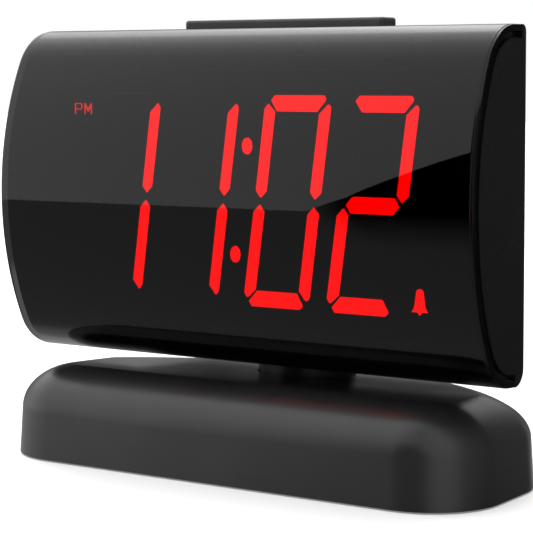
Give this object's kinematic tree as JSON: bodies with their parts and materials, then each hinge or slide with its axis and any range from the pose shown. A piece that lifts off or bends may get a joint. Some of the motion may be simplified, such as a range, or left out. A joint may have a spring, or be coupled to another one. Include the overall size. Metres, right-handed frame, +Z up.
{
  "type": "alarm clock",
  "caption": "Bedside alarm clock: a wide curved tinted display with slanted red digits and a long snooze bar, on a short swivel neck and a weighted base.",
  "frame": {"origin": "on the table, under the middle of the object's width and depth", "axes": "+X to the right along the display as the reader sees it, -Y towards the reader, +Z up"},
  "size_m": [0.1652, 0.09, 0.1354],
  "materials": {
    "base_body": "satin moulded dark grey plastic",
    "inner_plastic": "fine-grained black plastic",
    "ballast": "plain cast plate",
    "acetal": "smooth low-friction plastic",
    "neck_body": "satin dark grey plastic",
    "steel": "plated sheet steel",
    "screws": "zinc-plated screws",
    "lens": "polished smoke-tinted transparent plastic",
    "head_body": "satin black moulded plastic",
    "cover_body": "fine-grained black moulded plastic",
    "display_mask": "dead black printed film",
    "digit_light": "red light guides, lit",
    "indicator_light": "small red light guides, lit",
    "circuit_board": "green solder-masked board",
    "component_black": "moulded black housing",
    "capacitor_sleeve": "shrunk blue sleeve",
    "socket_body": "moulded black housing",
    "cell_can": "plated coin cell",
    "snooze_body": "satin dark grey plastic",
    "button_caps": "satin black plastic",
    "thumb_wheel": "knurled black plastic",
    "feet_rubber": "soft black rubber"
  },
  "bodies": {
    "base": {"base_shell": "base_body", "base_bottom_plate": "inner_plastic", "base_screw_1": "screws", "base_screw_2": "screws", "base_screw_3": "screws", "base_screw_4": "screws", "foot_front_left": "feet_rubber", "foot_front_right": "feet_rubber", "foot_rear_left": "feet_rubber", "foot_rear_right": "feet_rubber", "ballast_weight": "ballast", "friction_washer": "acetal"},
    "head": {"swivel_neck": "neck_body", "swivel_retainer": "steel", "retainer_screw": "screws", "neck_clamp_ring": "steel", "neck_screw_1": "screws", "neck_screw_2": "screws", "display_lens": "lens", "display_housing": "head_body", "rear_cover": "cover_body", "cover_screw_1": "screws", "cover_screw_2": "screws", "cover_screw_3": "screws", "cover_screw_4": "screws", "segment_mask": "display_mask", "digit_hours_tens": "digit_light", "digit_hours_units": "digit_light", "digit_minutes_tens": "digit_light", "digit_minutes_units": "digit_light", "colon_light_guide": "digit_light", "pm_light_guide": "indicator_light", "bell_light_guide": "indicator_light", "led_board": "circuit_board", "main_board": "circuit_board", "clock_chip": "component_black", "filter_capacitor": "capacitor_sleeve", "quartz_crystal": "steel", "alarm_buzzer": "component_black", "control_board": "circuit_board", "button_switch_1": "component_black", "button_switch_2": "component_black", "button_switch_3": "component_black", "button_switch_4": "component_black", "alarm_switch_body": "steel", "dimmer_body": "component_black", "dc_socket": "socket_body", "cell_holder": "component_black", "backup_cell": "cell_can", "snooze_board": "circuit_board", "snooze_switch": "component_black"},
    "snooze": {"snooze_bar": "snooze_body"},
    "set_key": {"set_button": "button_caps"},
    "alarm_key": {"alarm_button": "button_caps"},
    "minus_key": {"minus_button": "button_caps"},
    "plus_key": {"plus_button": "button_caps"},
    "alarm_knob": {"alarm_switch_knob": "button_caps"},
    "dimmer": {"dimmer_wheel": "thumb_wheel"},
    "battery_hatch": {"battery_door": "cover_body"}
  },
  "joints": [
    {"name": "head_swivel", "type": "hinge", "parent": "base", "child": "head", "pos_m": [0, 0.0097, 0.028], "axis": [0, 0, 1], "range_deg": [-90, 90]},
    {"name": "snooze_press", "type": "slide", "parent": "head", "child": "snooze", "axis": [0, 0, -1], "range_m": [0, 0.0015], "stiffness_N_per_m": 800, "springref_m": -0.001},
    {"name": "set_press", "type": "slide", "parent": "head", "child": "set_key", "axis": [0, -1, 0], "range_m": [0, 0.001], "stiffness_N_per_m": 500, "springref_m": -0.0006},
    {"name": "alarm_press", "type": "slide", "parent": "head", "child": "alarm_key", "axis": [0, -1, 0], "range_m": [0, 0.001], "stiffness_N_per_m": 500, "springref_m": -0.0006},
    {"name": "minus_press", "type": "slide", "parent": "head", "child": "minus_key", "axis": [0, -1, 0], "range_m": [0, 0.001], "stiffness_N_per_m": 500, "springref_m": -0.0006},
    {"name": "plus_press", "type": "slide", "parent": "head", "child": "plus_key", "axis": [0, -1, 0], "range_m": [0, 0.001], "stiffness_N_per_m": 500, "springref_m": -0.0006},
    {"name": "alarm_slide", "type": "slide", "parent": "head", "child": "alarm_knob", "axis": [1, 0, 0], "range_m": [0, 0.004]},
    {"name": "dimmer_turn", "type": "hinge", "parent": "head", "child": "dimmer", "pos_m": [0.04, 0.0196, 0.1], "axis": [0, 0, 1], "range_deg": [0, 270]},
    {"name": "battery_door_pull", "type": "slide", "parent": "head", "child": "battery_hatch", "axis": [0, 1, 0], "range_m": [0, 0.012]}
  ]
}
